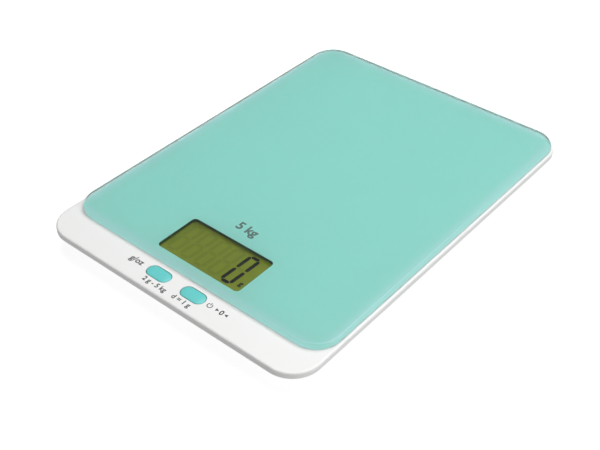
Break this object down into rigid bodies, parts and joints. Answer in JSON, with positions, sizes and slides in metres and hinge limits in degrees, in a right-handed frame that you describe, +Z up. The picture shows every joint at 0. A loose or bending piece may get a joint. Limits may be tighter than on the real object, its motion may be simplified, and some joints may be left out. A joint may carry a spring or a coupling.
{
  "type": "kitchen scale",
  "caption": "Slim digital kitchen scale: back-printed glass weighing platform on a tapered plastic body, with display, push buttons, load-cell feet and battery door.",
  "frame": {"origin": "on the worktop, under the middle of the scale's outline", "axes": "+X to the user's right, +Y away from the user along the longer side, +Z up"},
  "size_m": [0.144, 0.199, 0.0164],
  "materials": {
    "clear_glass": "clear tempered, polished edge",
    "mint_ink": "opaque mint ink seen through glass",
    "adhesive": "foam adhesive",
    "white_plastic": "satin moulded",
    "label_paper": "blank silver-grey sticker",
    "black_plastic": "matt moulded",
    "display_glass": "olive reflective display",
    "elastomer": "silicone",
    "board_laminate": "green solder mask",
    "black_epoxy": "glossy resin",
    "switch_steel": "stamped",
    "mint_key_plastic": "satin moulded",
    "screw_steel": "zinc plated",
    "pad_rubber": "matt grey",
    "cell_steel": "ground plate",
    "sealant": "white silicone",
    "grey_sleeve": "sleeving",
    "coin_steel": "plated can",
    "contact_steel": "spring steel, nickel plated",
    "black_sleeve": "sleeving",
    "red_sleeve": "sleeving"
  },
  "bodies": {
    "scale_body": {"glass_platform": "clear_glass", "glass_print": "mint_ink", "platform_tape": "adhesive", "top_shell": "white_plastic", "bottom_shell": "white_plastic", "rating_label": "label_paper", "lcd_bezel": "black_plastic", "lcd_cell": "display_glass", "lcd_zebra_strip": "elastomer", "circuit_board": "board_laminate", "controller_blob": "black_epoxy", "unit_switch_body": "switch_steel", "tare_switch_body": "switch_steel", "shell_screw_1": "screw_steel", "shell_screw_2": "screw_steel", "shell_screw_3": "screw_steel", "shell_screw_4": "screw_steel", "shell_screw_5": "screw_steel", "shell_screw_6": "screw_steel", "board_screw_1": "screw_steel", "board_screw_2": "screw_steel", "board_screw_3": "screw_steel", "board_screw_4": "screw_steel", "load_cell_front_left": "cell_steel", "gauge_seal_front_left": "sealant", "cell_wires_front_left": "grey_sleeve", "load_cell_front_right": "cell_steel", "gauge_seal_front_right": "sealant", "cell_wires_front_right": "grey_sleeve", "load_cell_back_left": "cell_steel", "gauge_seal_back_left": "sealant", "cell_wires_back_left": "grey_sleeve", "load_cell_back_right": "cell_steel", "gauge_seal_back_right": "sealant", "cell_wires_back_right": "grey_sleeve", "coin_cell": "coin_steel", "battery_minus_contact": "contact_steel", "battery_plus_contact": "contact_steel", "battery_minus_wire": "black_sleeve", "battery_plus_wire": "red_sleeve"},
    "unit_button": {"unit_button_cap": "mint_key_plastic", "unit_switch_plunger": "black_plastic"},
    "tare_button": {"tare_button_cap": "mint_key_plastic", "tare_switch_plunger": "black_plastic"},
    "front_left_foot": {"foot_front_left": "white_plastic", "foot_pad_front_left": "pad_rubber", "foot_screw_front_left": "screw_steel"},
    "front_right_foot": {"foot_front_right": "white_plastic", "foot_pad_front_right": "pad_rubber", "foot_screw_front_right": "screw_steel"},
    "back_left_foot": {"foot_back_left": "white_plastic", "foot_pad_back_left": "pad_rubber", "foot_screw_back_left": "screw_steel"},
    "back_right_foot": {"foot_back_right": "white_plastic", "foot_pad_back_right": "pad_rubber", "foot_screw_back_right": "screw_steel"},
    "door": {"battery_door": "white_plastic"}
  },
  "joints": [
    {"name": "unit_button_press", "type": "slide", "parent": "scale_body", "child": "unit_button", "axis": [0, 0, -1], "range_m": [0, 0.0003], "stiffness_N_per_m": 6000},
    {"name": "tare_button_press", "type": "slide", "parent": "scale_body", "child": "tare_button", "axis": [0, 0, -1], "range_m": [0, 0.0003], "stiffness_N_per_m": 6000},
    {"name": "front_left_foot_load", "type": "slide", "parent": "scale_body", "child": "front_left_foot", "axis": [0, 0, 1], "range_m": [0, 0.0004], "stiffness_N_per_m": 40000, "deforming": ["load_cell_front_left"]},
    {"name": "front_right_foot_load", "type": "slide", "parent": "scale_body", "child": "front_right_foot", "axis": [0, 0, 1], "range_m": [0, 0.0004], "stiffness_N_per_m": 40000, "deforming": ["load_cell_front_right"]},
    {"name": "back_left_foot_load", "type": "slide", "parent": "scale_body", "child": "back_left_foot", "axis": [0, 0, 1], "range_m": [0, 0.0004], "stiffness_N_per_m": 40000, "deforming": ["load_cell_back_left"]},
    {"name": "back_right_foot_load", "type": "slide", "parent": "scale_body", "child": "back_right_foot", "axis": [0, 0, 1], "range_m": [0, 0.0004], "stiffness_N_per_m": 40000, "deforming": ["load_cell_back_right"]},
    {"name": "battery_door_hinge", "type": "hinge", "parent": "scale_body", "child": "door", "pos_m": [0, -0.0027, 0.003], "axis": [1, 0, 0], "range_deg": [0, 75]}
  ]
}
